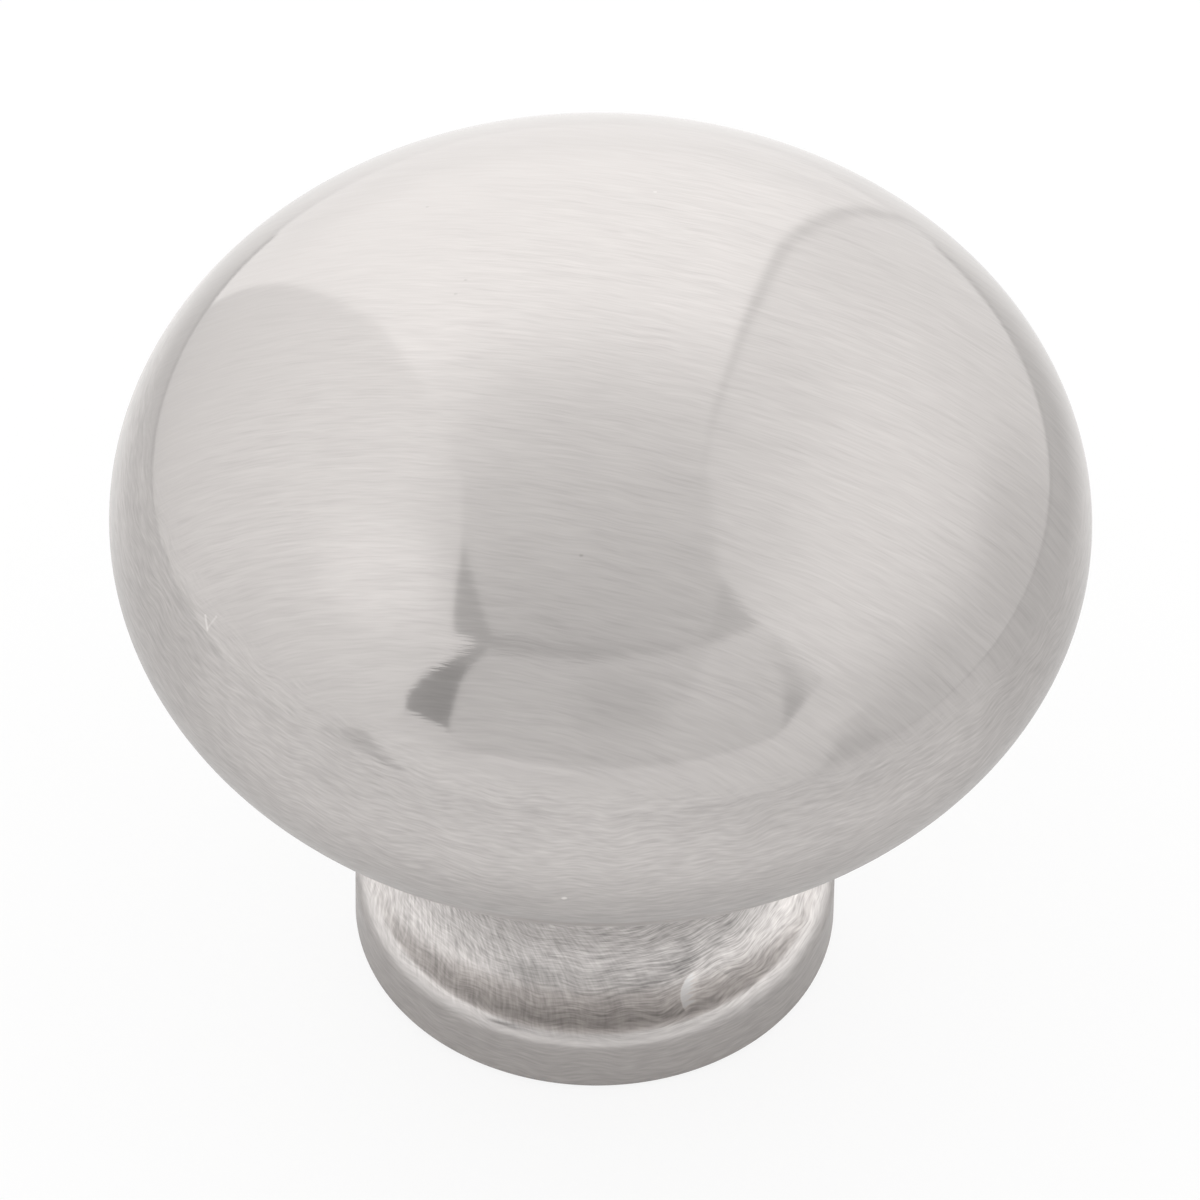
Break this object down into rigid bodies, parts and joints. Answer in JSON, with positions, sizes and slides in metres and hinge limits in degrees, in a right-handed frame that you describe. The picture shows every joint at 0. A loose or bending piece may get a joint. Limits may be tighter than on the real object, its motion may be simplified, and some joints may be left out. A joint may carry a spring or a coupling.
{
  "type": "cabinet knob",
  "caption": "Round cabinet knob with a domed cap, a waisted neck and a flared foot, brushed satin nickel, fixed by a screw from behind.",
  "frame": {"origin": "centre of the foot's flat back, on the cabinet face", "axes": "+Z along the knob's axis, from the cabinet face to the top of the dome"},
  "size_m": [0.0318, 0.0318, 0.0286],
  "materials": {
    "satin_nickel": "brushed satin nickel plate on a zinc casting, lines across the dome and around the neck"
  },
  "bodies": {
    "root": {"knob": "satin_nickel"}
  },
  "joints": []
}
